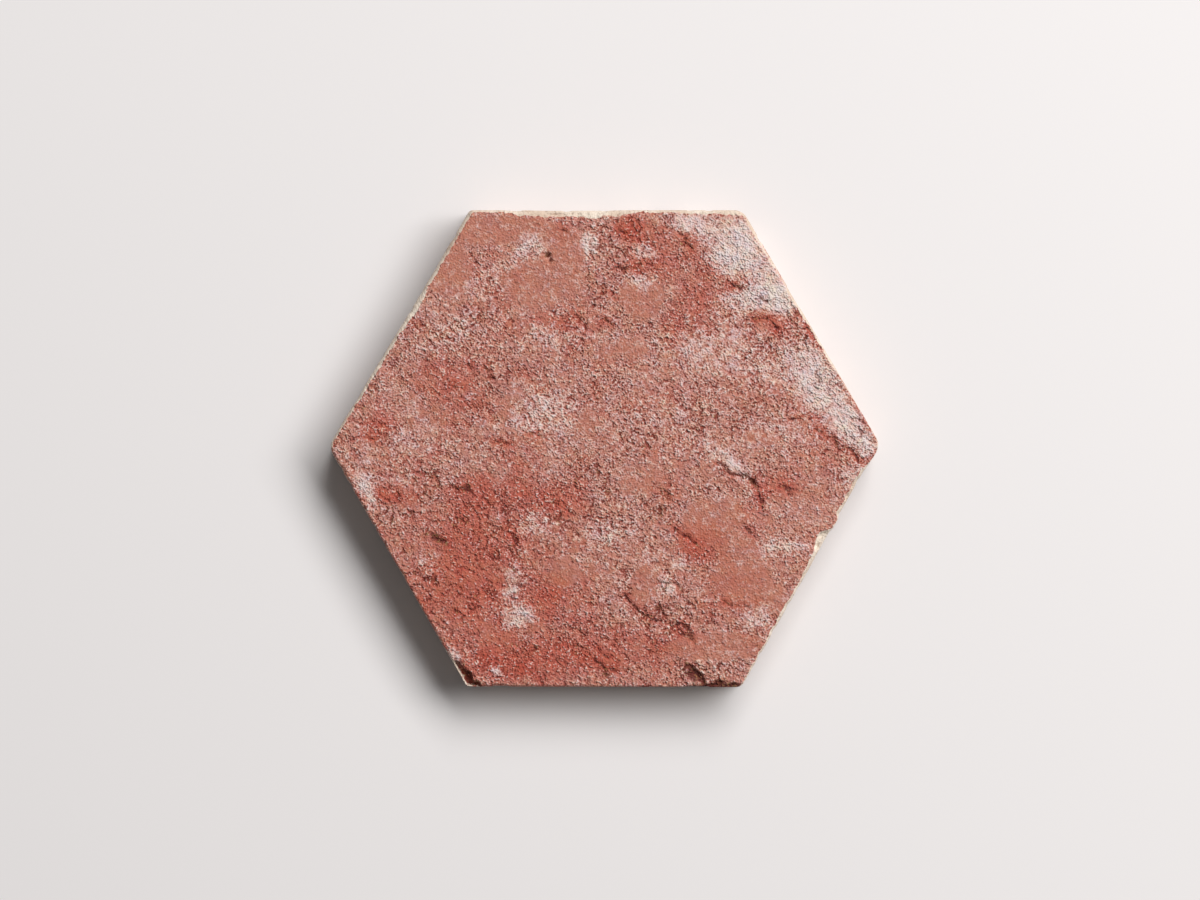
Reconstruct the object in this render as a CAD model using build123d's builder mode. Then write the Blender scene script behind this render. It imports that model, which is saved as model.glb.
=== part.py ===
from build123d import *
from math import cos, radians, sin, tan
import os

# A hexagonal floor tile of fired clay, drawn in millimetres.
# The origin is the middle of the underside. X runs through two corners, and Z comes out of the worn face.

# Whole tile
across_flats = 160.0
thickness = 18.0

# The six sides as they were cut, anticlockwise from the upper right one.
# Each stands out from a true hexagon by side_out and is turned from it by side_turn degrees.
side_out = (0.4, -0.1, -0.2, -0.15, -0.1, -0.3)
side_turn = (0.5, 0.0, -0.9, 0.0, -0.1, 0.0)

# The worn arris round the face: its width along each side, and how far down the sides it goes.
# It goes steeply from the side up to a shoulder, and from there it leans in to the face.
arris_width = (0.9, 1.0, 1.4, 0.6, 0.9, 1.2)
arris_depth = 1.7
shoulder_height = 1.0
shoulder_share = 0.35  # the part of the width that lies outside the shoulder

# The radius of each corner, anticlockwise from the one on the right
corner_radius = (5.5, 5.0, 1.8, 5.5, 2.0, 3.0)

# The small arris under the tile
foot_width = 0.6
foot_height = 0.8

# The worn face rises and falls in two waves.
long_wave_height = 0.3
long_wave_length = 155.0
long_wave_heading = 25.0
short_wave_height = 0.16
short_wave_length = 84.0
short_wave_heading = 118.0
face_point_gap = 14.0

# Chips are scoops with pointed ends. Each has a length and the radius at its middle.
# Its axis passes above the face, and its middle sits in from its side.

# The broken corner at the lower left
corner_break_length = 44.0
corner_break_radius = 4.2
corner_break_above = 0.2
corner_break_turn = -13.0

# The furrow at the right of the bottom side, and the worn arris between it and the corner
furrow_length = 12.0
furrow_radius = 2.0
furrow_above = 0.3
furrow_in = 4.4
furrow_from_corner = 15.9
furrow_turn = -49.5
rim_chip_length = 20.0
rim_chip_radius = 2.0
rim_chip_above = 0.3
rim_chip_from_corner = 6.7

# The wide wear along the left half of the top side
top_wear_length = 44.0
top_wear_radius = 2.9
top_wear_above = 1.2
top_wear_from_middle = 12.0

# Two chips in the lower right side, with a nib of whole arris left between them
long_chip_length = 24.0
long_chip_radius = 1.9
long_chip_above = 0.5
long_chip_from_corner = 16.7
short_chip_length = 9.0
short_chip_radius = 2.9
short_chip_above = 0.6
short_chip_in = 0.5
short_chip_from_middle = 9.0

# Dents and pits in the face, each placed from the middle of the tile
dent_length = 11.0
dent_radius = 1.9
dent_above = 1.1
dent_x = -55.7
dent_y = -30.6
dent_turn = -34.0
nick_length = 7.0
nick_radius = 1.5
nick_above = 0.9
nick_x = -46.7
nick_y = -13.9
nick_turn = -15.0
hollow_radius = 3.0
hollow_depth = 0.8
hollow_x = 47.5
hollow_y = -10.0
pit_radius = 1.2
pit_depth = 1.0
pit_x = -19.6
pit_y = 64.1

# What follows from the sizes above
sides = range(len(side_out))
upper_right, top, upper_left, lower_left, bottom, lower_right = sides
side_heading = [30.0 + 60.0 * k + side_turn[k] for k in sides]
side_reach = [across_flats / 2 + side_out[k] for k in sides]
no_inset = [0.0 for k in sides]
headroom = 4.0 * (long_wave_height + short_wave_height)


def corner(k, inset):
    """The corner where side k begins, with each side moved in by its own inset."""
    a = radians(side_heading[k - 1])
    b = radians(side_heading[k])
    reach_a = side_reach[k - 1] - inset[k - 1]
    reach_b = side_reach[k] - inset[k]
    x = (reach_a * sin(b) - reach_b * sin(a)) / sin(b - a)
    y = (reach_b * cos(a) - reach_a * cos(b)) / sin(b - a)
    return Vector(x, y)


def next_to(k):
    """The side that comes after side k, anticlockwise."""
    return (k + 1) % len(sides)


def hexagon(inset):
    """The plan of the tile with each side moved in by its own inset and each corner rounded."""
    corners = [corner(k, inset) for k in sides]
    along = [(corners[next_to(k)] - corners[k]).normalized() for k in sides]
    half_bend = [along[k - 1].get_angle(along[k]) / 2 for k in sides]
    back = [corner_radius[k] * tan(radians(half_bend[k])) for k in sides]
    with BuildSketch() as plan:
        with BuildLine():
            for k in sides:
                start = corners[k] - along[k - 1] * back[k]
                end = corners[k] + along[k] * back[k]
                inward = (along[k] - along[k - 1]).normalized()
                sagitta = corner_radius[k] * (1 / cos(radians(half_bend[k])) - 1)
                ThreePointArc(start, corners[k] + inward * sagitta, end)
                Line(end, corners[next_to(k)] - along[k] * back[next_to(k)])
        make_face()
    return plan.sketch


def face_height(x, y):
    """The height of the worn face over a point of the plan."""
    a = radians(long_wave_heading)
    b = radians(short_wave_heading)
    long_wave = long_wave_height * sin(radians(360) * (x * cos(a) + y * sin(a)) / long_wave_length)
    short_wave = short_wave_height * cos(radians(360) * (x * cos(b) + y * sin(b)) / short_wave_length)
    return thickness + long_wave + short_wave


def on_side(k, from_middle, inward):
    """A point of the plan, measured along side k from its middle and in from the side."""
    middle = (corner(k, no_inset) + corner(next_to(k), no_inset)) / 2
    heading = radians(side_heading[k])
    return middle + Vector(-sin(heading), cos(heading)) * from_middle - Vector(cos(heading), sin(heading)) * inward


def half_length(k):
    """Half the length of side k between its sharp corners."""
    return (corner(next_to(k), no_inset) - corner(k, no_inset)).length / 2


def scoop(length, radius, at, above, heading):
    """A round body with pointed ends, lying over the face at a point of the plan."""
    with BuildPart() as body:
        with BuildSketch(Plane.XZ):
            with BuildLine():
                Line((-length / 2, 0), (length / 2, 0))
                ThreePointArc((length / 2, 0), (0, radius), (-length / 2, 0))
            make_face()
        revolve(axis=Axis.X)
    return Location((at.X, at.Y, face_height(at.X, at.Y) + above), (0, 0, heading)) * body.part


# The worn face, drawn well past the outline so that it cuts the whole blank
half_grid = 0.7 * across_flats
face_rows = 1 + 2 * round(half_grid / face_point_gap)
grid = [half_grid * (2 * i / (face_rows - 1) - 1) for i in range(face_rows)]
worn_face = Face.make_surface_from_array_of_points([[Vector(x, y, face_height(x, y)) for y in grid] for x in grid])

with BuildPart() as tile:
    # Foot, sides, shoulder and arris, with the arris carried on past the face
    shoulder = [width * shoulder_share for width in arris_width]
    lean = [width * (1 - shoulder_share) / (arris_depth - shoulder_height) for width in arris_width]
    with BuildSketch(Plane.XY):
        add(hexagon([foot_width for k in sides]))
    with BuildSketch(Plane.XY.offset(foot_height)):
        add(hexagon(no_inset))
    with BuildSketch(Plane.XY.offset(thickness - arris_depth)):
        add(hexagon(no_inset))
    with BuildSketch(Plane.XY.offset(thickness - arris_depth + shoulder_height)):
        add(hexagon(shoulder))
    with BuildSketch(Plane.XY.offset(thickness + headroom)):
        add(hexagon([arris_width[k] + lean[k] * headroom for k in sides]))
    loft(ruled=True)

    # The worn face
    extrude(worn_face, amount=2 * headroom, dir=(0, 0, 1), mode=Mode.SUBTRACT)

    # The broken corner
    across = (side_heading[lower_left] + side_heading[bottom]) / 2 + 90 + corner_break_turn
    add(
        scoop(corner_break_length, corner_break_radius, corner(bottom, no_inset), corner_break_above, across),
        mode=Mode.SUBTRACT,
    )

    # The furrow and the worn arris beside it
    at = on_side(bottom, half_length(bottom) - furrow_from_corner, furrow_in)
    add(scoop(furrow_length, furrow_radius, at, furrow_above, side_heading[bottom] + 90 + furrow_turn), mode=Mode.SUBTRACT)
    at = on_side(bottom, half_length(bottom) - rim_chip_from_corner, 0)
    add(scoop(rim_chip_length, rim_chip_radius, at, rim_chip_above, side_heading[bottom] + 90), mode=Mode.SUBTRACT)

    # The wide wear of the top side
    at = on_side(top, top_wear_from_middle, 0)
    add(scoop(top_wear_length, top_wear_radius, at, top_wear_above, side_heading[top] + 90), mode=Mode.SUBTRACT)

    # The two chips of the lower right side
    at = on_side(lower_right, half_length(lower_right) - long_chip_from_corner, 0)
    add(scoop(long_chip_length, long_chip_radius, at, long_chip_above, side_heading[lower_right] + 90), mode=Mode.SUBTRACT)
    at = on_side(lower_right, short_chip_from_middle, short_chip_in)
    add(scoop(short_chip_length, short_chip_radius, at, short_chip_above, side_heading[lower_right] + 90), mode=Mode.SUBTRACT)

    # Dents and pits
    add(scoop(dent_length, dent_radius, Vector(dent_x, dent_y), dent_above, dent_turn), mode=Mode.SUBTRACT)
    add(scoop(nick_length, nick_radius, Vector(nick_x, nick_y), nick_above, nick_turn), mode=Mode.SUBTRACT)
    with Locations((hollow_x, hollow_y, face_height(hollow_x, hollow_y) + hollow_radius - hollow_depth)):
        Sphere(hollow_radius, mode=Mode.SUBTRACT)
    with Locations((pit_x, pit_y, face_height(pit_x, pit_y) + pit_radius - pit_depth)):
        Sphere(pit_radius, mode=Mode.SUBTRACT)

tile.part.label = "tile"
os.makedirs("parts", exist_ok=True)
export_step(tile.part, "parts/tile.step")
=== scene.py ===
"""A worn hexagonal floor tile of fired clay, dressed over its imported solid.

All sizes below are in millimetres. They are turned into metres where a mesh or a pattern is made.
"""

import bpy
import numpy as np
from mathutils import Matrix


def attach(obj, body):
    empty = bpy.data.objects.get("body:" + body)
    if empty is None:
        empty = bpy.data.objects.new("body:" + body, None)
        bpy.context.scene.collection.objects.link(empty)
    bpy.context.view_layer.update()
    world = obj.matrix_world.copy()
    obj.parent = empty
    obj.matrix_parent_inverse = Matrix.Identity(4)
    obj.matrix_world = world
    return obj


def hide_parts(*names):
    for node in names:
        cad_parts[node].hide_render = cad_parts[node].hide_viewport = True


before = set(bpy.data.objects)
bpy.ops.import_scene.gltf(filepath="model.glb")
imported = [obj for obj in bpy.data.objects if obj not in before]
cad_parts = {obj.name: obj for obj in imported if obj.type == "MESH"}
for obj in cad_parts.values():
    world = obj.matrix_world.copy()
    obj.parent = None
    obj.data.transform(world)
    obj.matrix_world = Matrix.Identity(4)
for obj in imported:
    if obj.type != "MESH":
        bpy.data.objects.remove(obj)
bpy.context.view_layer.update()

MM = 0.001

# The solid's own sizes, as they are in its source
ACROSS_FLATS = 160.0
THICKNESS = 18.0
SIDE_OUT = np.array([0.4, -0.1, -0.2, -0.15, -0.1, -0.3])
SIDE_TURN = np.array([0.5, 0.0, -0.9, 0.0, -0.1, 0.0])
ARRIS_DEPTH = 1.7
CORNER_RADIUS = np.array([5.5, 5.0, 1.8, 5.5, 2.0, 3.0])
FOOT_WIDTH = 0.6
FOOT_HEIGHT = 0.8
LONG_WAVE_HEIGHT, LONG_WAVE_LENGTH, LONG_WAVE_HEADING = 0.3, 155.0, 25.0
SHORT_WAVE_HEIGHT, SHORT_WAVE_LENGTH, SHORT_WAVE_HEADING = 0.16, 84.0, 118.0
UPPER_RIGHT, TOP, UPPER_LEFT, LOWER_LEFT, BOTTOM, LOWER_RIGHT = range(6)

# The dressed surface stays this far inside the solid's outline, and below this height
SKIN = 0.04
HIGHEST = 18.43
CEILING_EASE = 0.05  # over this last step below the highest point the relief flattens out

# How the mesh is divided
RINGS = 160  # from the middle of the face to its edge, and points along each sixth of the edge
EDGE_RING_GAP = 0.25
RINGS_TO_WIDEN = 7.0
ARRIS_ROWS = 5
ARRIS_SHARE = 0.2  # the part of the way down to the foot that the arris rows take
WALL_ROWS = 14
UNDER_RINGS = RINGS // 4
SIDE_RUN = 92.0  # about one side's length, which the patterns on the sides run along

# How high the texture of the face stands
LUMP_HEIGHT = 0.1
PLATEAU_HEIGHT = 0.06
GRAIN_HEIGHT = 0.4
STEP_HEIGHT = 0.15  # of a flake's edge anywhere
FLAKE_HEIGHT = 0.4  # of a flake's edge where the ground flakes, on top of that
CRUST_HEIGHT = 0.06
CRUMB_HEIGHT = 0.36

# How deep the texture of the sides and the underside goes
NICK_DEPTH, NICK_SIZE = 0.38, 3.2
SWELL_HEIGHT, SWELL_SIZE = 0.2, 9.0
BITE_DEPTH, BITE_SIZE = 0.25, 5.0
SAW_DEPTH, SAW_GAP = 0.04, 3.1
SIDE_PROUD = 0.1  # the sides' texture is cut off this far out, and then moved in by as much
RECESS_DEPTH, RECESS_SIZE = 0.35, 13.0

# The random tables' size, and where the origin lies on their lattice
TABLE = 256
START_X, START_Y = 97.3, 41.7


def smooth(low, high, value):
    """0 below low, 1 above high and the S curve t^2 (3 - 2t) between, and the other way round if low is higher."""
    t = np.clip((value - low) / (high - low), 0, 1)
    return t * t * (3 - 2 * t)


def on_lattice(x, y, size):
    """Each point's place on a square lattice of that size, and the cell that it lies in."""
    u, v = x / size + START_X, y / size + START_Y
    return u, v, np.floor(u).astype(int), np.floor(v).astype(int)


def rolling(x, y, size, seed):
    """Smooth random heights from -1 to 1: random values on a lattice, joined by the curve 6t^5 - 15t^4 + 10t^3."""
    table = np.random.default_rng(seed).uniform(-1, 1, (TABLE, TABLE))
    u, v, i, j = on_lattice(x, y, size)
    a, b = u - i, v - j
    a, b = a**3 * (a * (6 * a - 15) + 10), b**3 * (b * (6 * b - 15) + 10)
    i, j, ii, jj = i % TABLE, j % TABLE, (i + 1) % TABLE, (j + 1) % TABLE
    near = table[i, j] * (1 - a) + table[ii, j] * a
    far = table[i, jj] * (1 - a) + table[ii, jj] * a
    return near * (1 - b) + far * b


def broken(x, y, size, seed, octaves=4, share=0.55):
    """Several rolling fields added up, each about half the size and turned against the last, scaled to about -1 to 1.

    Each counts for a share of the one before.
    """
    total, weight, sum_of_weights = 0.0, 1.0, 0.0
    for n in range(octaves):
        turn = 0.9 * n + 0.3
        u, v = x * np.cos(turn) - y * np.sin(turn), x * np.sin(turn) + y * np.cos(turn)
        total = total + weight * rolling(u, v, size / 1.93**n, seed + 17 * n)
        sum_of_weights += weight
        weight *= share
    return total / sum_of_weights * 1.5


def pebbles(x, y, size, seed):
    """Round grains: one point at random in each cell, 1 at a point and falling to 0 midway between two."""
    table = np.random.default_rng(seed).uniform(0, 1, (2, TABLE, TABLE))
    u, v, i, j = on_lattice(x, y, size)
    first, second = np.full(np.shape(u), 9.0), np.full(np.shape(u), 9.0)
    for di in (-1, 0, 1):
        for dj in (-1, 0, 1):
            ci, cj = (i + di) % TABLE, (j + dj) % TABLE
            gap = np.hypot(i + di + table[0, ci, cj] - u, j + dj + table[1, ci, cj] - v)
            second = np.minimum(second, np.maximum(first, gap))
            first = np.minimum(first, gap)
    return np.clip((second - first) * 1.6, 0, 1)


# The marks below were read from the photograph, each placed in millimetres from the middle of the tile.

# Patches: middle x, middle y, half length, half width, turn in degrees, strength.
# White lime
LIME = [
    (31.0, 74.5, 9.0, 5.0, -8, 0.5),
    (44.5, 69.0, 9.5, 7.5, 70, 0.68),
    (40.0, 62.0, 7.0, 4.0, -30, 0.45),
    (53.7, 58.1, 11.0, 5.5, -60, 0.5),
    (48.7, 50.5, 8.5, 4.6, 10, 0.6),
    (57.0, 50.0, 6.0, 5.0, 0, 0.5),
    (60.4, 49.7, 5.5, 4.0, -50, 0.4),
    (70.0, 24.0, 17.0, 8.0, -58, 0.6),
    (82.0, 8.0, 8.5, 5.5, -50, 0.55),
    (87.5, 0.5, 4.5, 3.5, 0, 0.4),
    (39.3, -2.2, 6.5, 3.6, -45, 0.34),
    (46.0, -7.5, 6.5, 3.0, -40, 0.3),
    (35.3, 34.6, 12.0, 8.0, 10, 0.3),
    (83.0, -9.5, 6.5, 5.0, 60, 0.35),
    (-24.9, 68.1, 5.5, 4.0, 20, 0.4),
    (-33.0, 62.0, 7.0, 3.5, 30, 0.25),
    (-4.5, 68.1, 3.8, 3.6, 0, 0.5),
    (13.2, 66.0, 5.0, 3.0, -20, 0.4),
    (12.0, 56.0, 4.0, 3.0, 0, 0.4),
    (-19.9, 11.2, 10.0, 8.0, 10, 0.38),
    (-31.0, -46.0, 9.0, 4.2, 80, 0.45),
    (-28.3, -56.5, 5.5, 3.2, 20, 0.6),
    (-22.6, -25.3, 6.5, 5.0, 0, 0.3),
    (0.5, -29.3, 8.0, 5.0, 0, 0.3),
    (-79.5, -13.9, 6.0, 2.6, -60, 0.6),
    (-58.4, -39.7, 8.0, 5.0, -30, 0.2),
    (-39.3, 55.4, 9.0, 5.5, 20, 0.15),
    (50.4, -56.1, 7.5, 5.0, 0, 0.35),
    (58.1, -33.0, 8.0, 3.0, 0, 0.35),
    (20.9, -45.7, 4.0, 3.4, 0, 0.45),
    (25.3, -38.3, 3.0, 3.0, 0, 0.35),
    (-50.5, -70.5, 4.5, 3.0, -60, 0.6),
    (-36.0, -75.0, 2.4, 1.5, -20, 0.6),
    (-45.0, 41.3, 10.0, 6.0, 20, 0.12),
    (-16.6, 38.0, 11.0, 7.0, 0, 0.2),
    (11.9, 8.0, 20.0, 12.0, 0, 0.1),
    (-63.4, 2.8, 8.0, 6.0, 0, 0.15),
    (50.4, 24.6, 11.0, 8.0, 0, 0.22),
    (60.4, 6.2, 12.0, 6.0, 0, 0.2),
    (-79.0, 8.0, 5.0, 4.0, 0, 0.15),
]
# Redder clay
RED = [
    (-50.0, 20.0, 12.0, 8.0, -55, 0.55),
    (9.5, 73.1, 5.5, 5.0, 0, 0.9),
    (18.5, 70.0, 8.0, 4.5, -30, 0.5),
    (27.0, 62.5, 8.0, 5.0, -30, 0.15),
    (15.2, 61.4, 7.0, 5.0, 0, 0.5),
    (38.7, 57.5, 9.0, 5.0, 0, 0.35),
    (-75.1, 6.5, 5.0, 4.0, 20, 0.8),
    (-73.0, -15.5, 8.0, 3.0, 0, 0.9),
    (-48.0, -45.0, 24.0, 22.0, 60, 0.75),
    (-30.3, -71.5, 22.0, 7.0, 0, 1.0),
    (-1.5, -66.5, 25.0, 9.0, 0, 0.65),
    (-14.9, -50.7, 12.0, 9.0, 0, 0.6),
    (-41.7, -17.2, 14.0, 8.0, 0, 0.5),
    (-20.0, -16.0, 14.0, 7.0, 0, 0.65),
    (54.4, 41.3, 6.5, 4.0, -30, 0.55),
    (57.1, -12.5, 8.0, 5.0, 0, 0.5),
    (31.0, -32.0, 8.0, 8.0, 0, 0.6),
    (38.7, -52.0, 10.0, 8.0, 0, 0.35),
    (-14.9, 42.0, 11.0, 4.0, 0, 0.55),
    (-30.0, -3.0, 10.0, 6.0, -30, 0.5),
    (30.0, 45.0, 10.0, 8.0, 0, 0.3),
]
# Smooth worn plateaus
WORN = [
    (-38.0, 73.1, 22.0, 5.5, 0, 0.9),
    (-52.0, 60.4, 9.0, 9.0, 0, 0.9),
    (-14.0, 66.0, 8.5, 8.0, 0, 1.0),
    (-22.6, 55.4, 14.0, 8.0, 0, 0.9),
    (12.2, 50.0, 8.0, 7.0, 0, 0.9),
    (6.9, 32.3, 13.0, 8.0, 0, 0.55),
    (36.3, -22.9, 12.0, 8.0, 20, 0.8),
    (45.4, -40.7, 9.0, 13.0, 0, 0.95),
    (55.4, -50.7, 8.0, 8.0, 0, 0.6),
    (13.2, -46.0, 6.0, 8.0, 0, 0.8),
    (36.3, -66.4, 17.0, 5.5, 0, 0.95),
    (-13.6, -42.0, 7.0, 5.5, 0, 0.7),
    (-5.0, 8.0, 8.0, 9.0, 0, 0.5),
    (11.9, -10.5, 14.0, 9.0, 0, 0.5),
    (-62.0, -58.0, 10.0, 20.0, -30, 0.25),
    (52.0, 4.0, 10.0, 4.0, 0, 0.6),
    (-60.0, 40.0, 12.0, 8.0, 60, 0.35),
    (-38.0, -64.0, 14.0, 8.0, 0, 0.3),
]

# Cracks and flake edges: depth, half width, then the points that they pass through
CRACKS = [
    (0.5, 0.45, [(18.0, -44.7), (21.5, -44.9), (24.9, -45.7), (25.5, -47.5)]),
    (0.6, 0.5, [(6.5, -48.7), (11.2, -54.7), (15.2, -56.7), (20.6, -58.1), (25.3, -60.7), (29.3, -64.1)]),
    (0.75, 0.55, [(18.6, -53.4), (20.6, -56.7), (23.9, -58.1), (27.3, -60.1), (29.3, -62.8)]),
    (0.7, 0.55, [(23.4, -27.0), (27.9, -30.0), (30.9, -32.6)]),
    (0.5, 0.5, [(40.0, -50.7), (43.3, -52.7), (48.7, -53.4)]),
    (0.5, 0.5, [(-3.5, -70.8), (-1.0, -72.5), (0.5, -74.1), (3.5, -73.8)]),
    (0.4, 0.4, [(-5.5, -65.4), (-2.8, -66.8), (1.0, -70.0)]),
    (0.5, 0.5, [(-50.4, -54.1), (-47.7, -56.7)]),
    (0.6, 0.5, [(-46.0, 28.6), (-44.3, 27.3)]),
    (0.6, 0.5, [(-41.0, 27.3), (-38.3, 25.6), (-37.0, 23.5)]),
    (0.5, 0.5, [(-50.7, 21.3), (-47.4, 20.6)]),
    (0.6, 0.4, [(-88.5, 3.8), (-86.2, 2.8), (-80.2, 3.5), (-75.0, 2.0)]),
    (0.5, 0.4, [(-36.6, 2.2), (-31.0, 1.2)]),
    (0.4, 0.4, [(-24.9, 5.5), (-20.0, 3.5)]),
    (0.5, 0.5, [(62.0, 9.5), (68.1, 9.5), (69.8, 10.2)]),
    (0.5, 0.5, [(70.4, 6.2), (76.5, 3.5), (77.8, 0.5)]),
    (0.6, 0.5, [(79.5, 0.5), (81.5, 0.8), (83.8, -1.2), (84.8, -3.8)]),
    (0.5, 0.4, [(81.5, -4.5), (84.5, -8.9)]),
    (0.65, 0.5, [(37.6, -4.9), (42.0, -8.2), (47.7, -8.9), (50.4, -11.2), (52.7, -16.2), (52.7, -19.6)]),
    (0.5, 0.5, [(59.7, -12.9), (64.8, -13.9), (68.1, -15.6)]),
    (0.6, 0.6, [(47.7, -26.3), (49.7, -28.3)]),
    (0.5, 0.5, [(-14.9, 73.1), (-13.2, 72.5)]),
    (0.5, 0.45, [(0.2, 54.7), (4.2, 50.7)]),
    (0.7, 0.5, [(3.5, 60.7), (6.9, 60.2), (10.2, 59.7)]),
    (0.5, 0.45, [(0.2, 43.7), (2.5, 41.3)]),
    (0.6, 0.5, [(4.5, 73.8), (7.5, 72.1)]),
    (0.7, 0.5, [(42.0, 55.4), (46.0, 54.4)]),
    (0.5, 0.5, [(52.0, 50.4), (54.4, 48.7)]),
    (0.4, 0.45, [(49.7, 44.0), (56.4, 43.0), (57.7, 38.7)]),
    (0.5, 0.5, [(68.1, 40.7), (72.8, 33.6)]),
    (0.5, 0.5, [(24.6, 73.1), (29.6, 67.1)]),
    (0.4, 0.4, [(-13.9, -18.5), (-12.5, -21.5)]),
    (0.4, 0.4, [(-31.0, -29.0), (-30.0, -31.5)]),
    (0.4, 0.4, [(-63.5, -8.0), (-57.4, -9.9)]),
]

# Pits: x, y, radius, depth
PITS = [
    (-17.2, -18.2, 1.6, 0.7),
    (-19.2, 64.6, 1.3, 1.3),
    (-18.2, 63.2, 1.1, 1.2),
    (49.5, -11.3, 1.5, 0.9),
    (46.0, -9.5, 1.8, 0.7),
    (-43.5, 62.0, 0.9, 0.6),
    (22.0, 49.0, 1.2, 0.5),
    (-71.0, 56.0, 0.9, 0.6),
    (61.5, -15.5, 1.2, 0.7),
    (33.0, -41.0, 1.0, 0.6),
    (0.0, -75.5, 1.4, 0.9),
    (-68.0, -34.0, 0.9, 0.5),
]

# The worn arris of each side: how wide it is at points along the side, anticlockwise from its middle
ARRIS = {
    UPPER_RIGHT: [(-37, 0.3), (-20, 0.4), (-10, 0.9), (10, 0.9), (43, 1.1)],
    TOP: [(-43, 1.6), (-27, 0.9), (-10, 0.8), (-5, 2.2), (10, 2.0), (28, 2.3), (31, 0.8), (43, 0.7)],
    UPPER_LEFT: [(-45, 1.0), (-20, 1.3), (-10, 1.6), (0, 1.3), (17, 1.1), (33, 0.9), (43, 0.8)],
    LOWER_LEFT: [(-43, 0.8), (-33, 0.5), (15, 0.35), (24, 0.6), (43, 0.6)],
    BOTTOM: [(-43, 0.9), (0, 0.4), (33, 0.35), (43, 0.6)],
    LOWER_RIGHT: [
        (-45, 0.5), (-20, 0.9), (0, 1.2), (7, 1.3), (8.5, 2.2), (11, 2.6), (13, 0.8), (15, 0.2),
        (18, 0.2), (20, 1.0), (30, 1.0), (37, 0.7), (39, 0.2), (44, 0.2),
    ],
}

# How much of the pale body each side's arris shows, and the rest is the colour of the face. The low shares of the
# lower-left and bottom sides, which face away from the lamp, are painted shade.
SHOWN = np.array([0.75, 1.0, 1.0, 0.45, 0.25, 1.0])

# How far each side is worn in over its whole height, at points along it
WORN_IN = {
    TOP: [(-43, 0.0), (-8, 0.0), (0, 0.2), (20, 0.25), (30, 0.0)],
    UPPER_LEFT: [(-40, 0.0), (-10, 0.25), (5, 0.15), (20, 0.0)],
    LOWER_RIGHT: [
        (-30, 0.0), (0, 0.2), (8, 0.5), (13, 0.5), (14.5, 0.0), (18, 0.0), (20, 0.6), (36, 0.7), (42, 0.1),
    ],
}

# The outline: each side's outward heading, how far out it lies, and the directions out of it and along it
HEADING = np.radians(30.0 + 60.0 * np.arange(6) + SIDE_TURN)
REACH = ACROSS_FLATS / 2 + SIDE_OUT - SKIN
OUTWARD = np.stack([np.cos(HEADING), np.sin(HEADING)], 1)
ALONG = np.stack([-np.sin(HEADING), np.cos(HEADING)], 1)


def corners():
    """The corner where side k - 1 meets side k: the point that lies its reach out along both headings."""
    a, b = np.roll(HEADING, 1), HEADING
    ra, rb = np.roll(REACH, 1), REACH
    x = (ra * np.sin(b) - rb * np.sin(a)) / np.sin(b - a)
    y = (rb * np.cos(a) - ra * np.cos(b)) / np.sin(b - a)
    return np.stack([x, y], 1)


# Where the sides meet, the sides' middles and half lengths, the bend at each corner, and its arc's start and centre
CORNER = corners()
MIDDLE = (CORNER + np.roll(CORNER, -1, 0)) / 2
HALF_SIDE = np.linalg.norm(np.roll(CORNER, -1, 0) - CORNER, axis=1) / 2
BEND = (HEADING - np.roll(HEADING, 1)) % (2 * np.pi)
BACK = CORNER_RADIUS * np.tan(BEND / 2)
ARC_CENTRE = CORNER - np.roll(ALONG, 1, 0) * BACK[:, None] - np.roll(OUTWARD, 1, 0) * CORNER_RADIUS[:, None]


def at_side(table, side, along):
    """The value that a table of sides gives at each point along a side, and 0 on a side that isn't in it."""
    curves = [np.interp(along, *np.array(table.get(k, [(0, 0.0)])).T) for k in range(6)]
    return np.choose(side, curves)


def worn_in(side, along):
    """How far in a side is worn at each point along it.

    This is what the table gives, and away from the side's ends also small nicks.
    """
    nicks = smooth(0.2, 0.9, rolling(along + 200.0 * side, 0.0 * along, NICK_SIZE, seed=83))
    return at_side(WORN_IN, side, along) + NICK_DEPTH * nicks * smooth(3.0, 9.0, HALF_SIDE[side] - np.abs(along))


def outline(k, f):
    """A point of the rounded outline and the way out from it.

    k is a sector, from the middle of corner arc k to the middle of the next, and f runs from 0 to 1 along
    it by length: half an arc, the straight side, and half of the next arc.
    """
    following = (k + 1) % 6
    first = CORNER_RADIUS[k] * BEND[k] / 2
    straight = 2 * HALF_SIDE[k] - BACK[k] - BACK[following]
    last = CORNER_RADIUS[following] * BEND[following] / 2
    run = f * (first + straight + last)
    turn_in = np.minimum(run - first, 0) / CORNER_RADIUS[k]
    turn_out = np.maximum(run - first - straight, 0) / CORNER_RADIUS[following]
    heading = HEADING[k] + turn_in + turn_out
    out = np.stack([np.cos(heading), np.sin(heading)], -1)
    on_arc_in = ARC_CENTRE[k] + out * CORNER_RADIUS[k][..., None]
    on_arc_out = ARC_CENTRE[following] + out * CORNER_RADIUS[following][..., None]
    on_side = CORNER[k] + ALONG[k] * (BACK[k] + run - first)[..., None]
    point = np.where((turn_in < 0)[..., None], on_arc_in, np.where((turn_out > 0)[..., None], on_arc_out, on_side))
    along = ((point - MIDDLE[k]) * ALONG[k]).sum(-1)
    return point - out * worn_in(k, along)[..., None], out


def edge_distance(x, y):
    """For each point of the plan: its distance in from the outline, the nearest side, and how far along it."""
    p = np.stack([x, y], -1)
    inward = REACH - p @ OUTWARD.T
    side = np.argmin(inward, -1)
    distance = np.take_along_axis(inward, side[..., None], -1)[..., 0]
    for i in range(6):
        from_centre = p - ARC_CENTRE[i]
        in_wedge = (from_centre @ ALONG[i - 1] > 0) & (from_centre @ ALONG[i] < 0)
        distance = np.where(in_wedge, CORNER_RADIUS[i] - np.linalg.norm(from_centre, axis=-1), distance)
    along = ((p - MIDDLE[side]) * ALONG[side]).sum(-1)
    return distance - worn_in(side, along), side, along


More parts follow.
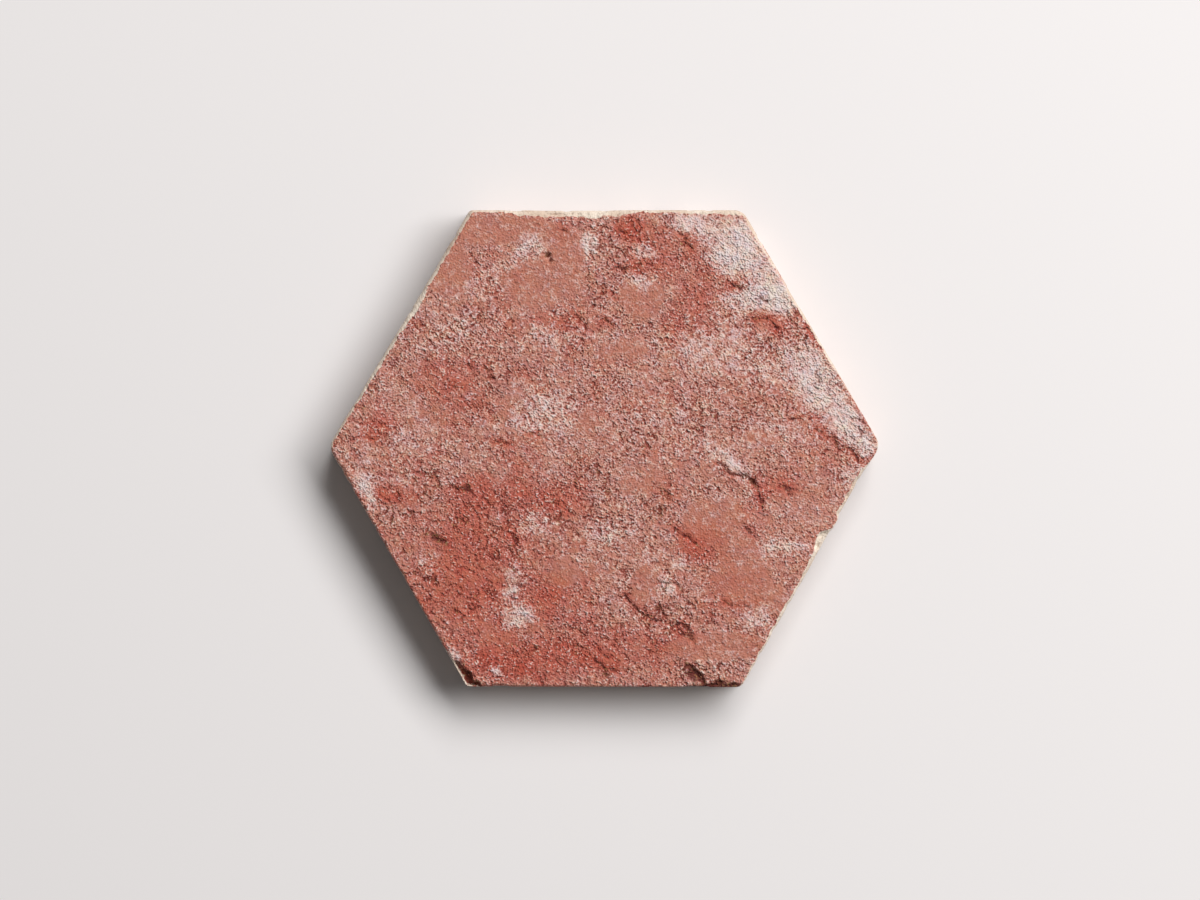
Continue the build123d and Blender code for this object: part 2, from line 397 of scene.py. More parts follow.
def by_side(k, from_middle, inward):
    """A point of the plan, measured along side k from its middle and in from the side."""
    return MIDDLE[k] + ALONG[k] * from_middle - OUTWARD[k] * inward


def scoops():
    """The chips and dents of the solid, from the same values as in its source, except that the furrow is shallower.

    Each has a length, a radius, the x and y of its middle, the height of its axis over the face, its heading in
    degrees, and how dark it is coloured: 1 if it is full of dark dirt and painted shade, and 0 if it shows the clay.
    """
    along = np.degrees(HEADING) + 90
    across = (along[LOWER_LEFT] + along[BOTTOM]) / 2 - 13.0
    broken_corner = (44.0, 4.2, *CORNER[BOTTOM], 0.2, across, 1)
    furrow = (12.0, 2.0, *by_side(BOTTOM, HALF_SIDE[BOTTOM] - 15.9, 4.4), 0.8, along[BOTTOM] - 49.5, 0.9)
    rim_chip = (20.0, 2.0, *by_side(BOTTOM, HALF_SIDE[BOTTOM] - 6.7, 0.0), 0.3, along[BOTTOM], 1)
    top_wear = (44.0, 2.9, *by_side(TOP, 12.0, 0.0), 1.2, along[TOP], 0)
    long_chip = (24.0, 1.9, *by_side(LOWER_RIGHT, HALF_SIDE[LOWER_RIGHT] - 16.7, 0.0), 0.5, along[LOWER_RIGHT], 0)
    short_chip = (9.0, 2.9, *by_side(LOWER_RIGHT, 9.0, 0.5), 0.6, along[LOWER_RIGHT], 0)
    dent = (11.0, 1.9, -55.7, -30.6, 1.1, -34.0, 1)
    nick = (7.0, 1.5, -46.7, -13.9, 0.9, -15.0, 1)
    return [broken_corner, furrow, rim_chip, top_wear, long_chip, short_chip, dent, nick]


def turned(x, y, at_x, at_y, degrees):
    """Each point as seen from a mark's middle: its distance along the mark's heading, and beside it."""
    a = np.radians(degrees)
    return (x - at_x) * np.cos(a) + (y - at_y) * np.sin(a), (y - at_y) * np.cos(a) - (x - at_x) * np.sin(a)


def scooped(x, y):
    """How deep the scoops cut below the face at each point, and how dark they are coloured there, with dirt and
    painted shade.

    A scoop is a circular arc turned about its own chord. At u along the chord its radius is r(u), and at v
    beside it the scoop reaches sqrt(r(u)^2 - v^2) below its axis. Where it cuts in by less than 0.5, its rim is
    eased. The dirt and painted shade spread up to 1.6 past the rim.
    """
    depth, dirt_and_shade = np.zeros(np.shape(x)), np.zeros(np.shape(x))
    for length, radius, at_x, at_y, above, heading, dirt_and_shade_cover in scoops():
        u, v = turned(x, y, at_x, at_y, heading)
        arc = (length**2 / 4 + radius**2) / (2 * radius)
        r = np.sqrt(np.maximum(arc**2 - u**2, 0)) - (arc - radius)
        reach = np.sqrt(np.maximum(np.maximum(r, 0) ** 2 - v**2, 0))
        depth = np.maximum(depth, (reach - above) * smooth(-0.1, 0.5, reach - above))
        dirt_and_shade = np.maximum(dirt_and_shade, dirt_and_shade_cover * smooth(-1.6, 0.5, r - above - np.abs(v)))
    return depth, dirt_and_shade


def patches(x, y, marks):
    """How strongly marks cover each point: each is an ellipse at full strength in its middle that fades outwards."""
    bare = np.ones(np.shape(x))
    for at_x, at_y, long, wide, turn, strength in marks:
        u, v = turned(x, y, at_x, at_y, turn)
        bare *= 1 - np.minimum(strength, 0.98) * np.exp(-0.9 * ((u / long) ** 2 + (v / wide) ** 2) ** 1.4)
    return 1 - bare


def crack_field(x, y):
    """The relief of the cracks, and how far each point lies from the nearest one's middle line in half widths.

    A crack is a groove of 0.8 * depth * exp(-(distance / (1.6 * half width))^2). Its upper right bank stands up
    by 0.5 * depth * exp(-(distance / 2.6)^2), as the edge of a flake does. It wanders a little, and it fades and
    comes back along its way.
    """
    u = x + 0.6 * rolling(x, y, 2.2, seed=71) + 0.3 * rolling(x, y, 0.9, seed=74)
    v = y + 0.6 * rolling(x, y, 2.2, seed=72) + 0.3 * rolling(x, y, 0.9, seed=75)
    kept = smooth(-0.9, -0.1, broken(x, y, 3.5, seed=73, octaves=3, share=0.7))
    groove, bank, near = np.zeros(np.shape(x)), np.zeros(np.shape(x)), np.full(np.shape(x), 9.0)
    for depth, half_width, points in CRACKS:
        points = np.array(points)
        nearest, above = np.full(np.shape(x), 99.0), np.zeros(np.shape(x))
        for start, step in zip(points[:-1], np.diff(points, axis=0)):
            t = np.clip(((u - start[0]) * step[0] + (v - start[1]) * step[1]) / (step @ step), 0, 1)
            away_x, away_y = u - start[0] - t * step[0], v - start[1] - t * step[1]
            gap = np.hypot(away_x, away_y)
            normal = np.array([-step[1], step[0]]) / np.hypot(*step)
            normal = normal * np.sign(normal.sum() + 1e-6)
            above = np.where(gap < nearest, away_x * normal[0] + away_y * normal[1], above)
            nearest = np.minimum(nearest, gap)
        groove = np.maximum(groove, 0.8 * depth * np.exp(-((nearest / (1.6 * half_width)) ** 2)))
        bank = np.maximum(bank, 0.5 * depth * smooth(-0.3, 0.5, above) * np.exp(-((nearest / 2.6) ** 2)))
        near = np.minimum(near, nearest / half_width)
    return (bank - groove) * kept, near + 3 * (1 - kept)


def face_height(x, y):
    """The face's two long waves, as the solid has them."""
    a, b = np.radians(LONG_WAVE_HEADING), np.radians(SHORT_WAVE_HEADING)
    long_wave = LONG_WAVE_HEIGHT * np.sin(2 * np.pi * (x * np.cos(a) + y * np.sin(a)) / LONG_WAVE_LENGTH)
    short_wave = SHORT_WAVE_HEIGHT * np.cos(2 * np.pi * (x * np.cos(b) + y * np.sin(b)) / SHORT_WAVE_LENGTH)
    return THICKNESS + long_wave + short_wave


def stains(x, y):
    """How much lime lies on each point, how red the clay is and how worn, each about 0 to 1."""
    lime = np.clip(patches(x, y, LIME) + 0.1 * broken(x, y, 9.0, seed=11, octaves=5, share=0.7), 0, 1)
    red = patches(x, y, RED) + 0.25 * broken(x, y, 15.0, seed=21, octaves=5, share=0.65)
    plateaus = patches(x, y, WORN) * (1 - 0.6 * lime) + 0.16 * broken(x, y, 7.0, seed=31, octaves=4, share=0.75)
    return lime, red, smooth(0.36, 0.52, plateaus)


def spalled_ground(x, y, worn):
    """The relief of the ground, with how rough it is, its grain, and the foot of each step between two flakes.

    A rolling field, drawn out from upper left to lower right, is cut into flakes. Its share s between whole
    numbers gives the step S(s) - s, where S is an S curve at the middle: steep at the foot of a flake, and
    sloping gently back over its top. Worn plateaus keep little of the steps and of the grain.
    """
    ground = 1 - 0.65 * worn - 0.25 * (1 - worn) * smooth(-0.1, 0.5, broken(x, y, 11.0, seed=33, octaves=3))
    drawn_x, drawn_y = (x - y) * 0.52, (x + y) * 0.83
    lumps = broken(x, y, 12.0, seed=51, octaves=3)
    grain = 0.55 * broken(drawn_x, drawn_y, 3.0, seed=52, octaves=3, share=0.8)
    grain = grain + 0.7 * (pebbles(drawn_x, drawn_y, 1.6, seed=53) - 0.5)
    level = 2.4 * broken(drawn_x, drawn_y, 11.0, seed=54, octaves=3, share=0.55)
    level = level + 0.32 * broken(x, y, 2.6, seed=57, octaves=3, share=0.8)
    share = level - np.floor(level)
    flakes = smooth(0.42, 0.58, share) - share
    flaking = smooth(-0.3, 0.35, broken(x, y, 13.0, seed=55, octaves=3)) * ground
    foot = smooth(0.24, 0.4, share) * smooth(0.54, 0.44, share) * flaking
    flat_tops = smooth(0.55, 0.7, share) * smooth(-0.4, 0.3, broken(x, y, 14.0, seed=34, octaves=2))
    rough = ground * (1 - 0.5 * flat_tops)
    relief = LUMP_HEIGHT * lumps + PLATEAU_HEIGHT * (worn - 1) + rough * GRAIN_HEIGHT * grain
    relief = relief + (STEP_HEIGHT * ground + FLAKE_HEIGHT * flaking) * flakes
    return relief, rough, grain, foot


def pitted(x, y):
    """How deep the pits are at each point. Their rims wander."""
    pit = np.zeros(np.shape(x))
    wander = 0.3 * rolling(x, y, 1.5, seed=61)
    for at_x, at_y, radius, depth in PITS:
        pit = np.maximum(pit, depth * smooth(1.2, 0.2, np.hypot(x - at_x, y - at_y) / radius + wander))
    return pit


def chipped(x, y):
    """The scoops with ragged rims: their cut, the relief that it takes with its crumbs left in, and their dirt and
    painted shade.
    """
    stray_x = 1.1 * rolling(x, y, 3.0, seed=62) + 0.6 * rolling(x, y, 1.4, seed=65)
    stray_y = 1.1 * rolling(x, y, 3.0, seed=63) + 0.6 * rolling(x, y, 1.4, seed=66)
    cut, dirt_and_shade = scooped(x + stray_x, y + stray_y)
    crumbs = pebbles(x, y, 1.5, seed=67) - 0.5 + 0.8 * broken(x, y, 2.4, seed=64, octaves=3, share=0.9)
    uneven = 1 + 0.2 * broken(x, y, 4.0, seed=68, octaves=2)
    return cut, cut * uneven - CRUMB_HEIGHT * crumbs * smooth(0.05, 0.8, cut), dirt_and_shade


def face(x, y):
    """The height of the worn face and the masks that its material reads.

    The ground, the cracks, the pits and the scoops add up to the relief, and the lime crust lies on top. Towards
    the outline the arris leans and then turns down, by depth * (0.35 t + 0.65 t^4) where t = 1 - distance / width.
    Just below the highest point that is allowed, the relief flattens out.
    """
    lime, red, worn = stains(x, y)
    relief, rough, grain, foot = spalled_ground(x, y, worn)
    relief += CRUST_HEIGHT * smooth(0.3, 0.6, lime) * rough - CRUST_HEIGHT / 2
    cracks, near_crack = crack_field(x, y)
    pit = pitted(x, y)
    cut, taken, dirt_and_shade = chipped(x, y)
    relief = relief + cracks - pit - taken

    # The arris, and how much of the pale body shows in it. It shows less on the lower-left and bottom sides, which
    # face away from the lamp: painted shade.
    distance, side, along = edge_distance(x, y)
    width = at_side(ARRIS, side, along) * (1 + 0.4 * broken(x, y, 3.6, seed=81, octaves=3, share=0.8)) + 0.15
    shown = SHOWN[side] * (1 - 0.35 * smooth(0.1, 0.7, broken(x, y, 6.0, seed=82, octaves=3, share=0.7)))
    wear = np.clip(1 - distance / width, 0, 1)
    relief = relief * (1 - smooth(0, 1, wear)) - ARRIS_DEPTH * (0.35 * wear + 0.65 * wear**4)

    # The ledge of the broken corner shows the body through its dirt and painted shade, most of all at its rim
    ragged = distance + 1.3 * broken(x, y, 1.8, seed=69, octaves=3, share=0.8)
    ledge = dirt_and_shade * smooth(3.4, 0.4, ragged) * smooth(-20.0, -30.0, x)
    body = np.clip((width - distance) / 0.5 + 0.5, 0, 1.5) + smooth(0.35, 1.2, cut) * (1 - dirt_and_shade)

    over = face_height(x, y) + relief - (HIGHEST - CEILING_EASE)
    relief -= np.where(over > 0, over - CEILING_EASE * (1 - np.exp(-np.maximum(over, 0) / CEILING_EASE)), 0)
    masks = {
        "lime": lime,
        # The clay turns redder near the cracks and in the dark scoops, under their painted shade
        "red": np.clip(red + 0.6 * np.exp(-((near_crack / 3) ** 2)) + 0.5 * dirt_and_shade, -0.4, 1.3),
        "rough": rough,
        "bare": body * shown + 0.45 * ledge,
        # The dark mask: dirt and painted shade in the scoops, darker in the pits, and painted shade at the feet of
        # the flakes
        "dirt_and_shade": 0.8 * dirt_and_shade * (1 - 0.5 * ledge) + 0.7 * smooth(0.3, 0.8, pit) + 0.55 * foot**2,
        "near_crack": np.minimum(near_crack, 6.0),
        # The grain dips at the flakes' feet, which also paints them darker as painted shade
        "grain": np.clip(grain - 2.0 * foot, -2, 1.5),
    }
    return face_height(x, y) + relief, masks


def lattice(rings):
    """The ring, sector and share along the sector of each point of a hexagonal lattice, and its triangles.

    Ring r has 6r points, and the middle is ring 0. Between two rings each sector has r triangles that stand
    on the outer ring and r - 1 that stand on the inner one.
    """
    counts = 6 * np.arange(1, rings + 1)
    r = np.repeat(np.arange(1, rings + 1), counts)
    place = np.arange(counts.sum()) - np.repeat(np.cumsum(counts) - counts, counts)
    ring = np.concatenate([[0], r])
    sector = np.concatenate([[0], place // r])
    share = np.concatenate([[0.0], (place % r) / r])

    def index(r, k, j):
        return np.where(r == 0, 0, 1 + 3 * r * (r - 1) + (k * r + j) % np.maximum(6 * r, 1))

    k, j = place // r, place % r
    outer = np.stack([index(r, k, j), index(r, k, j + 1), index(r - 1, k, j)], 1)
    keep = j < r - 1
    r, k, j = r[keep], k[keep], j[keep]
    inner = np.stack([index(r, k, j + 1), index(r - 1, k, j + 1), index(r - 1, k, j)], 1)
    return ring, sector, share, np.concatenate([outer, inner])


def band(upper, lower):
    """Two triangles for each step along two closed rows of points, the upper row first."""
    a, b, c, d = upper, np.roll(upper, -1), lower, np.roll(lower, -1)
    return np.concatenate([np.stack([c, d, b], 1), np.stack([c, b, a], 1)])


def halving(upper, lower):
    """Three triangles for each step of the lower row, which has half as many points as the upper."""
    a, b, c = upper[0::2], upper[1::2], np.roll(upper[0::2], -1)
    d, e = lower, np.roll(lower, -1)
    return np.concatenate([np.stack([d, b, a], 1), np.stack([d, e, b], 1), np.stack([e, c, b], 1)])


def face_plan():
    """The plan of the face as rings inside the outline, and its triangles.

    With n rings between it and the edge, a ring lies g n + (e - g) w (1 - exp(-n / w)) in. Here e is the gap at
    the edge, g the gap far from it, and w the rings that it takes to widen. All is then scaled to end at the middle.
    """
    ring, sector, share, triangles = lattice(RINGS)
    border, _ = outline(sector, share)
    from_edge = RINGS - ring
    half = ACROSS_FLATS / 2
    gap = (half - EDGE_RING_GAP * RINGS_TO_WIDEN) / (RINGS - RINGS_TO_WIDEN)
    inward = gap * from_edge + (EDGE_RING_GAP - gap) * RINGS_TO_WIDEN * (1 - np.exp(-from_edge / RINGS_TO_WIDEN))
    inward = inward * half / inward[0]
    return border * (1 - inward / half)[:, None], triangles


def side_rows(k, f, shares):
    """Closed rows of points down the sides, each a share of the way from the face's rim to the foot.

    The sides swell and sink, and have a few bites and a saw's marks. They never stand out past the outline.
    """
    edge, out = outline(k, f)
    rim, _ = face(edge[:, 0], edge[:, 1])
    run = (k + f) * SIDE_RUN
    rows = []
    for share in shares:
        z = rim + (FOOT_HEIGHT - rim) * share
        swell = SWELL_HEIGHT * broken(run, z, SWELL_SIZE, seed=91, octaves=4, share=0.6)
        bites = BITE_DEPTH * smooth(0.45, 0.9, broken(run, z, BITE_SIZE, seed=92, octaves=2))
        stroke = run + 0.35 * z + 1.5 * rolling(run, z, 12.0, seed=93)
        saw = SAW_DEPTH * np.sin(2 * np.pi * stroke / SAW_GAP)
        push = np.minimum(swell - bites + saw, SIDE_PROUD) - SIDE_PROUD
        push = push * np.clip(share / (0.5 * ARRIS_SHARE), 0, 1)
        rows.append(np.column_stack([edge + out * push[:, None], z]))
    return rows


def underside():
    """The flat underside, with shallow recesses away from its rim and its middle: points, rim and triangles."""
    ring, sector, share, triangles = lattice(UNDER_RINGS)
    border, out = outline(sector, share)
    plan = (border - out * FOOT_WIDTH) * (ring / UNDER_RINGS)[:, None]
    recess = smooth(0.25, 0.7, broken(plan[:, 0], plan[:, 1], RECESS_SIZE, seed=95, octaves=3, share=0.7))
    recess = RECESS_DEPTH * recess * (ring < UNDER_RINGS - 1) * smooth(5.0, 16.0, np.hypot(plan[:, 0], plan[:, 1]))
    return np.column_stack([plan, recess]), np.flatnonzero(ring == UNDER_RINGS), triangles[:, ::-1]


# What the masks are off the face, where the body is bare. The others are 0 there.
BARE = {"bare": 1.5, "near_crack": 6.0, "rough": 1.0}


def build_tile():
    """The whole tile as one closed mesh: the face, the arris and sides under it, and the underside."""
    plan, face_triangles = face_plan()
    height, masks = face(plan[:, 0], plan[:, 1])
    k = np.repeat(np.arange(6), RINGS)
    f = np.tile(np.arange(RINGS) / RINGS, 6)
    arris_shares = [ARRIS_SHARE * (n / ARRIS_ROWS) ** 1.3 for n in range(1, ARRIS_ROWS + 1)]
    wall_shares = [ARRIS_SHARE + (1 - ARRIS_SHARE) * n / WALL_ROWS for n in range(1, WALL_ROWS + 1)]
    rows = side_rows(k, f, arris_shares) + side_rows(k[::2], f[::2], wall_shares)
    under_points, under_rim, under_triangles = underside()

    triangles = [face_triangles]
    count = len(plan)
    upper = np.arange(count - 6 * RINGS, count)
    for row in rows:
        lower = np.arange(count, count + len(row))
        triangles.append(band(upper, lower) if len(upper) == len(lower) else halving(upper, lower))
        upper, count = lower, count + len(row)
    triangles += [halving(upper, count + under_rim), count + under_triangles]
    points = np.concatenate([np.column_stack([plan, height]), *rows, under_points]) * MM
    triangles = np.concatenate(triangles)

    mesh = bpy.data.meshes.new("worn_tile")
    mesh.from_pydata(points.tolist(), [], triangles.tolist())
    mesh.polygons.foreach_set("use_smooth", np.ones(len(triangles), bool))
    material_index = np.ones(len(triangles), np.int32)
    material_index[: len(face_triangles)] = 0
    mesh.polygons.foreach_set("material_index", material_index)
    for name, values in masks.items():
        off_the_face = np.full(len(points) - len(plan), BARE.get(name, 0.0))
        layer = mesh.attributes.new(name, "FLOAT", "POINT")
        layer.data.foreach_set("value", np.concatenate([values, off_the_face]).astype(np.float32))
    mesh.update()
    obj = bpy.data.objects.new("worn_tile", mesh)
    bpy.context.scene.collection.objects.link(obj)
    return obj


def linear(hex_colour):
    """An sRGB hex colour as linear red, green, blue and 1."""
    srgb = np.array([int(hex_colour[i : i + 2], 16) / 255 for i in (1, 3, 5)])
    rgb = np.where(srgb <= 0.04045, srgb / 12.92, ((srgb + 0.055) / 1.055) ** 2.4)
    return (*rgb.tolist(), 1.0)


def per_size(size):
    """The scale of a texture node whose pattern repeats about every size millimetres."""
    return 1 / (size * MM)


def add(tree, kind, inputs=None, **settings):
    """Adds a node with its settings. Each input is a value or the output socket that feeds it."""
    node = tree.nodes.new("ShaderNode" + kind)
    for name, value in settings.items():
        setattr(node, name, value)
    for name, value in (inputs or {}).items():
        if isinstance(value, bpy.types.NodeSocket):
            tree.links.new(value, node.inputs[name])
        else:
            node.inputs[name].default_value = value
    return node


def start_material(name):
    """An empty material with its Principled shader, its node tree and Object coordinates."""
    material = bpy.data.materials.new(name)
    material.use_nodes = True
    tree = material.node_tree
    tree.nodes.clear()
    shader = add(tree, "BsdfPrincipled")
    add(tree, "OutputMaterial", {"Surface": shader.outputs[0]})
    place = add(tree, "TexCoord").outputs["Object"]
    return material, tree, shader, place


def ramp(tree, value, low, high, bottom=0.0, top=1.0):
    """The value carried from the span low to high onto the span bottom to top, and held at its ends."""
    spans = {"Value": value, "From Min": low, "From Max": high, "To Min": bottom, "To Max": top}
    return add(tree, "MapRange", spans).outputs[0]


def sum_of(tree, value, share, other):
    """value * share + other."""
    return add(tree, "Math", {0: value, 1: share, 2: other}, operation="MULTIPLY_ADD").outputs[0]


def product(tree, value, other):
    """value * other."""
    return add(tree, "Math", {0: value, 1: other}, operation="MULTIPLY").outputs[0]


def blend(tree, factor, under, over, how="MIX"):
    """The colour over laid on the colour under."""
    inputs = {"Factor": factor, "A": under, "B": over}
    return add(tree, "Mix", inputs, data_type="RGBA", blend_type=how).outputs["Result"]


def tones(tree, value, *stops):
    """A colour that runs through stops, each a position and a hex colour."""
    node = add(tree, "ValToRGB", {"Fac": value})
    elements = node.color_ramp.elements
    while len(elements) < len(stops):
        elements.new(1.0)
    for element, (position, colour) in zip(elements, stops):
        element.position, element.color = position, linear(colour)
    return node.outputs[0]


def noise(tree, place, size, detail, roughness):
    """Smooth noise of about 0.5, with a cell of size millimetres and finer octaves."""
    inputs = {"Vector": place, "Scale": per_size(size), "Detail": detail, "Roughness": roughness}
    return add(tree, "TexNoise", inputs).outputs["Fac"]


def bumped(tree, shader, height, strength, distance):
    """Gives the shader bumps as high as the height times the distance, which is in millimetres."""
    bump = add(tree, "Bump", {"Height": height, "Strength": strength, "Distance": distance * MM})
    tree.links.new(bump.outputs[0], shader.inputs["Normal"])


def cut_body(tree, place, dull, bright, dusty):
    """The body of the clay where it was cut or has worn bare, as its colour and its height.

    It runs in clouds from a dull colour to a bright one, with dust in the low grit.
    """
    clouds = noise(tree, place, 11.0, 4.0, 0.6)
    grit = noise(tree, place, 1.1, 1.5, 0.6)
    tone = tones(tree, clouds, (0.36, dull), (0.62, bright))
    speck = ramp(tree, grit, 0.3, 0.45, dusty, 0.0)
    return blend(tree, speck, tone, linear("#A07D68")), grit


def clay_skin(tree, mask, drift, rough_level):
    """The clay itself: salmon to red by the mask and a drift, duller on worn skin, and dark red in the hollows,
    partly the clay's own colour and partly painted shade.
    """
    warmth = sum_of(tree, drift, 1.5, -0.75)
    warmth = sum_of(tree, mask["red"], 0.8, warmth)
    clay = tones(tree, warmth, (0.0, "#C68B7C"), (0.3, "#C17566"), (0.6, "#BE6352"), (1.0, "#B94C3B"))
    worn = ramp(tree, mask["rough"], 0.35, 0.8, 0.6, 0.0)
    clay = blend(tree, worn, clay, linear("#B66850"))
    # Dark red in the low spots of the fine grain: partly the clay's own colour, partly painted shade
    hollow_colour_and_shade = ramp(tree, rough_level, -0.27, -0.03, 0.9, 0.0)
    return blend(tree, hollow_colour_and_shade, clay, linear("#883427"))


def lime_over(tree, mask, ground, chalk, grit, rough_level):
    """The ground with its lime, and how much of it is crust.

    A thin veil lies even in the hollows where there is much lime. Pale dust lies on the grains' tops everywhere,
    partly lime dust and partly painted highlight, and crusts where the mask is strong. The highest grit is brighter
    still, as painted highlight that is partly lime.
    """
    veil = ramp(tree, mask["lime"], 0.25, 0.8, 0.0, 0.55)
    ground = blend(tree, veil, ground, linear("#CBB3AB"))
    spread = sum_of(tree, chalk, 1.3, -0.65)
    spread = sum_of(tree, mask["lime"], 0.62, spread)
    spread = sum_of(tree, mask["red"], -0.16, spread)
    spread = sum_of(tree, rough_level, 0.85, spread)
    # Pale dust on the grains' tops: partly lime dust, partly painted highlight
    dust_and_highlight = ramp(tree, spread, 0.02, 0.29, 0.0, 0.78)
    with_dust_and_highlight = blend(tree, dust_and_highlight, ground, linear("#EBCBC3"))
    crust = ramp(tree, spread, 0.24, 0.52, 0.0, 0.9)
    limed_and_lit = blend(tree, crust, with_dust_and_highlight, linear("#E4D9D4"))
    # The brightest grit tips: painted highlight, partly lime
    lime_and_highlight_tips = product(tree, ramp(tree, grit, 0.66, 0.78, 0.0, 0.6), mask["rough"])
    return blend(tree, lime_and_highlight_tips, limed_and_lit, linear("#F0DCD2")), crust


def grime_and_shade_over(tree, mask, colour, sand, chalk):
    """The colour darkened along its cracks, at its flakes' feet, in its pits and in its scoops: maroon, brown and a
    little olive, with a ragged rim. Along the cracks and at the feet it is painted shade, and in the scoops dirt and
    painted shade.
    """
    # Painted shade along the cracks, where the flake edges would cast it
    crack_shade = ramp(tree, sum_of(tree, sand, 1.2, mask["near_crack"]), 1.0, 1.9, 0.8, 0.0)
    dirt_and_shade_cover = ramp(tree, sum_of(tree, sand, 0.9, mask["dirt_and_shade"]), 0.68, 1.12, 0.0, 0.92)
    dark = add(tree, "Math", {0: crack_shade, 1: dirt_and_shade_cover}, operation="MAXIMUM").outputs[0]
    mottle = sum_of(tree, chalk, 0.6, product(tree, sand, 0.4))
    grime_and_shade = tones(tree, mottle, (0.38, "#34110F"), (0.48, "#64231F"), (0.55, "#7E4A2F"), (0.63, "#A98A5A"))
    return blend(tree, dark, colour, grime_and_shade)


def fired_face():
    """Fired terracotta, hand-pressed and worn.

    It gives the eye a dull salmon red that goes from smooth worn skin to sandy ground, with dark red hollows that
    are partly painted shade, white lime in crusts and in specks that are partly painted highlight, painted shade
    along the cracks, and the pale body at the arris.
    """
    material, tree, shader, place = start_material("fired terracotta face")
    names = ("lime", "red", "rough", "bare", "dirt_and_shade", "near_crack", "grain")
    mask = {name: add(tree, "Attribute", attribute_name=name).outputs["Fac"] for name in names}

    # Sand of about a millimetre, finer grit, chalk, and a drift that runs over centimetres
    sand = noise(tree, place, 1.05, 1.0, 0.6)
    grit = noise(tree, place, 0.62, 0.0, 0.5)
    drift = noise(tree, place, 6.5, 6.0, 0.7)
    chalk = noise(tree, place, 2.6, 5.0, 0.8)

    # How high each spot stands in the fine grain, about -0.3 to 0.3. Besides the bumps, it paints the low spots
    # darker and the high ones paler, partly as painted shade and painted highlight.
    level = sum_of(tree, mask["grain"], 0.12, -0.8)
    level = sum_of(tree, sand, 0.8, level)
    level = sum_of(tree, grit, 0.8, level)
    rough_level = product(tree, level, mask["rough"])

    ground = clay_skin(tree, mask, drift, rough_level)
    limed_and_lit, crust = lime_over(tree, mask, ground, chalk, grit, rough_level)
    grimy_and_shaded = grime_and_shade_over(tree, mask, limed_and_lit, sand, chalk)

    # The firing left warm tan and cooler ashy clouds of every size
    clouds = noise(tree, place, 6.0, 6.0, 0.85)
    tint = tones(tree, clouds, (0.34, "#F4F1FF"), (0.5, "#FFFDFC"), (0.66, "#FFFAE6"))
    fired = blend(tree, 1.0, grimy_and_shaded, tint, how="MULTIPLY")

    # The arris, worn through to the body with a torn edge
    body, _ = cut_body(tree, place, "#D6BDA8", "#EADBCA", 0.45)
    worn_through = ramp(tree, sum_of(tree, sand, 1.4, mask["bare"]), 1.3, 1.55)
    tree.links.new(blend(tree, worn_through, fired, body), shader.inputs["Base Color"])

    # Worn skin has a little shine, and the ground has none
    tree.links.new(ramp(tree, mask["rough"], 0.0, 1.0, 0.7, 0.95), shader.inputs["Roughness"])

    # The grain stands up by its level, and the crust lies on top
    kept = ramp(tree, mask["rough"], 0.2, 1.0, 0.42, 1.05)
    height = sum_of(tree, crust, 0.08, product(tree, level, kept))
    bumped(tree, shader, height, ramp(tree, worn_through, 0.0, 1.0, 1.0, 0.4), 0.76)
    return material


def cut_sides():
    """The clay body as the sides were cut and the underside was pressed on sand: buff, chalky and without shine."""
    material, tree, shader, place = start_material("cut terracotta body")
    colour, grit = cut_body(tree, place, "#957664", "#BC9F8B", 0.5)

    # Lime left from the old bed, stains, and pores about a millimetre wide
    residue = noise(tree, place, 15.0, 6.0, 0.68)
    colour = blend(tree, ramp(tree, residue, 0.55, 0.63, 0.0, 0.75), colour, linear("#CDC0B1"))
    colour = blend(tree, ramp(tree, residue, 0.36, 0.44, 0.6, 0.0), colour, linear("#835F4E"))
    cells = add(tree, "TexVoronoi", {"Vector": place, "Scale": per_size(5.5), "Randomness": 1.0}).outputs["Distance"]
    pore = ramp(tree, sum_of(tree, residue, 0.4, cells), 0.23, 0.3, 0.75, 0.0)
    colour = blend(tree, pore, colour, linear("#5A3F33"))
    tree.links.new(colour, shader.inputs["Base Color"])
    shader.inputs["Roughness"].default_value = 0.93
    bumped(tree, shader, sum_of(tree, pore, -1.0, grit), 1.0, 0.6)
    return material


def plain_floor():
    """The paper sweep that the tile lies on: pale, matt and slightly warm."""
    material, _, shader, _ = start_material("matt studio paper")
    shader.inputs["Base Color"].default_value = linear("#F2EEED")
    shader.inputs["Roughness"].default_value = 0.95
    shader.inputs["Specular IOR Level"].default_value = 0.1
    return material


tile = build_tile()
tile.data.materials.append(fired_face())
tile.data.materials.append(cut_sides())
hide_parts("tile")
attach(tile, "root")

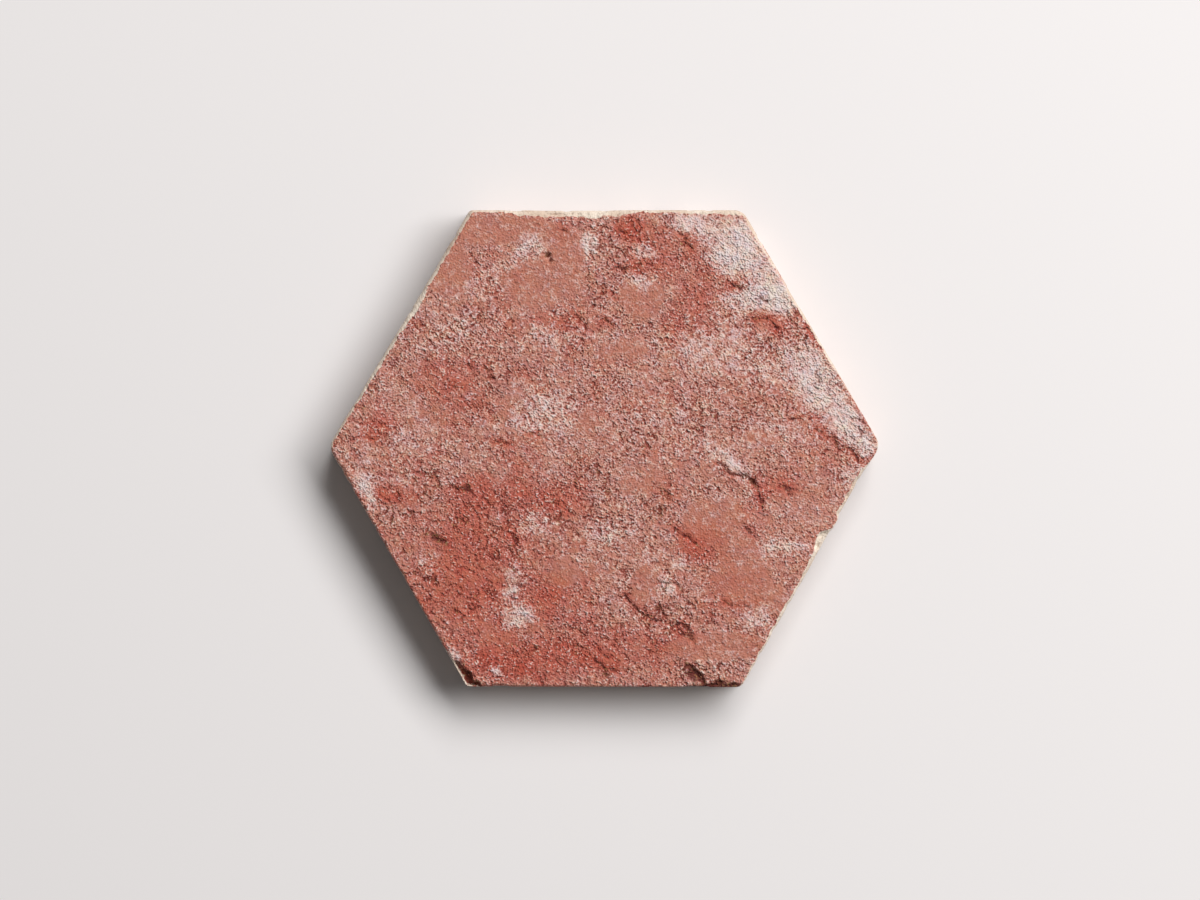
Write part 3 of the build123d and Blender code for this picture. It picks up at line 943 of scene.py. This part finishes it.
# The floor, just under the tile
floor_half, floor_z = 3.0, -0.05 * MM
floor_corners = [(x * floor_half, y * floor_half, floor_z) for x, y in ((-1, -1), (1, -1), (1, 1), (-1, 1))]
floor_mesh = bpy.data.meshes.new("floor")
floor_mesh.from_pydata(floor_corners, [], [(0, 1, 2, 3)])
floor = bpy.data.objects.new("floor", floor_mesh)
floor_mesh.materials.append(plain_floor())
bpy.context.scene.collection.objects.link(floor)

# One large soft lamp from the photograph's upper right
lamp_elevation, lamp_heading, lamp_distance = np.radians(48.5), np.radians(43.0), 3.0
lamp = bpy.data.lights.new("soft_lamp", "AREA")
lamp.shape = "RECTANGLE"
lamp.size = 1.55
lamp.size_y = 3.3
lamp.energy = 121.0
lamp_object = bpy.data.objects.new("soft_lamp", lamp)
lamp_object.location = (
    lamp_distance * np.cos(lamp_elevation) * np.cos(lamp_heading),
    lamp_distance * np.cos(lamp_elevation) * np.sin(lamp_heading),
    lamp_distance * np.sin(lamp_elevation),
)
lamp_object.rotation_euler = (0.0, np.pi / 2 - lamp_elevation, lamp_heading)
bpy.context.scene.collection.objects.link(lamp_object)

# A faint even light from all round
world = bpy.data.worlds.new("soft_fill")
world.use_nodes = True
bpy.context.scene.world = world
background = world.node_tree.nodes["Background"]
background.inputs["Color"].default_value = linear("#F4F2F1")
background.inputs["Strength"].default_value = 0.12

# The photograph looks straight down from a long way off. The tile's middle lies a little off its frame's middle.
PHOTO_WIDTH = 1200
MM_PER_PIXEL = 0.3347
TILE_RIGHT, TILE_UP = 4.5, 1.5  # pixels
camera_height = 1.5
camera = bpy.data.cameras.new("camera")
camera.sensor_width = 36.0
camera.lens = camera.sensor_width * (camera_height - THICKNESS * MM) / (PHOTO_WIDTH * MM_PER_PIXEL * MM)
camera_object = bpy.data.objects.new("camera", camera)
camera_object.location = (-TILE_RIGHT * MM_PER_PIXEL * MM, -TILE_UP * MM_PER_PIXEL * MM, camera_height)
bpy.context.scene.collection.objects.link(camera_object)
bpy.context.scene.camera = camera_object
bpy.context.scene.view_settings.view_transform = "Standard"
